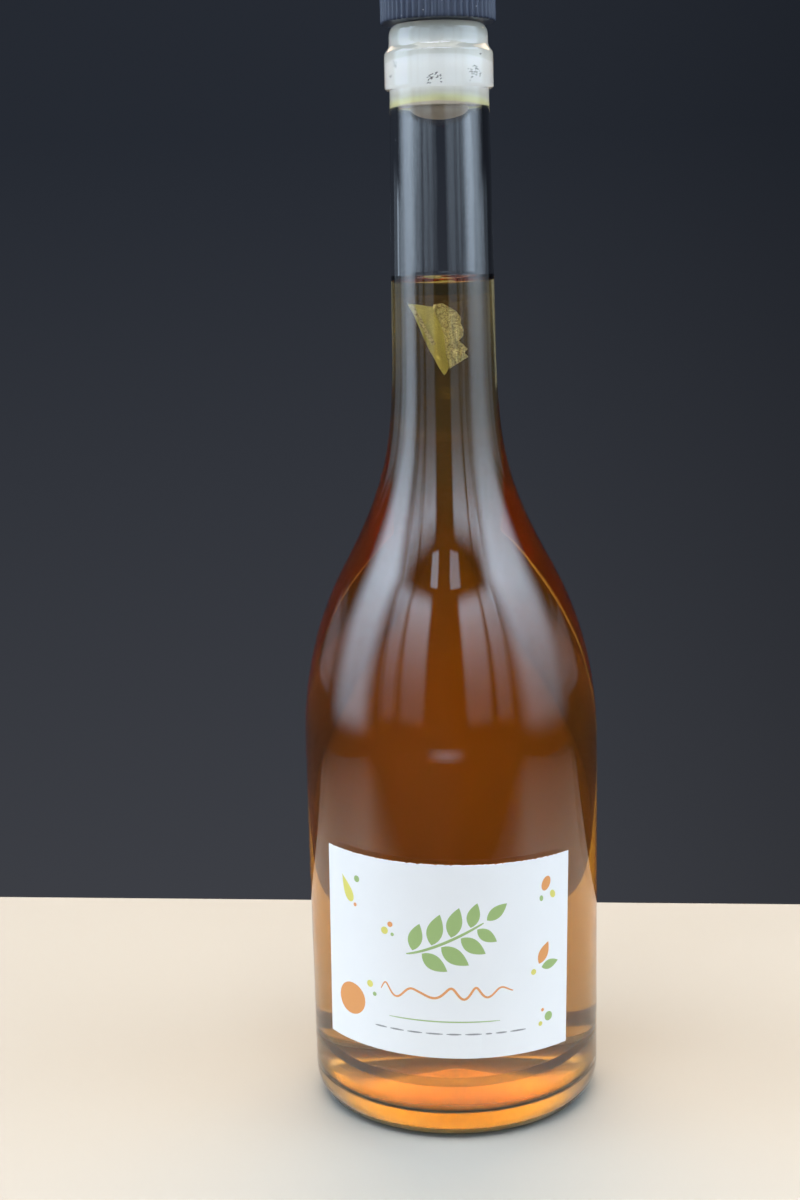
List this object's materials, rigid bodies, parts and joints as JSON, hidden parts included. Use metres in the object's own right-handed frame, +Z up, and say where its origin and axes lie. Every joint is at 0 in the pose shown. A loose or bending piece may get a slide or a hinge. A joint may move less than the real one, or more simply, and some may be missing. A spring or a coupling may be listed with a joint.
{
  "type": "vinegar bottle",
  "caption": "Tall clear glass bottle of amber vinegar with a long neck, a ringed mouth, a plain paper label and a ribbed push-in stopper.",
  "frame": {"origin": "centre of the foot, on the surface that the bottle stands on", "axes": "+Z up along the bottle's axis, -Y towards the front, where the label is, +X to the right as seen from the front"},
  "size_m": [0.0752, 0.0753, 0.2833],
  "materials": {
    "bottle_glass": "clear, polished, faintly green at the edges",
    "vinegar": "clear amber liquid",
    "label_paper": "smooth white uncoated paper with coloured print",
    "stopper_shank": "matt off-white foam plastic",
    "stopper_head": "satin black moulded plastic with fine upright ribs"
  },
  "bodies": {
    "root": {"bottle": "bottle_glass", "vinegar": "vinegar", "label": "label_paper", "stopper_shank": "stopper_shank", "stopper_head": "stopper_head"}
  },
  "joints": []
}
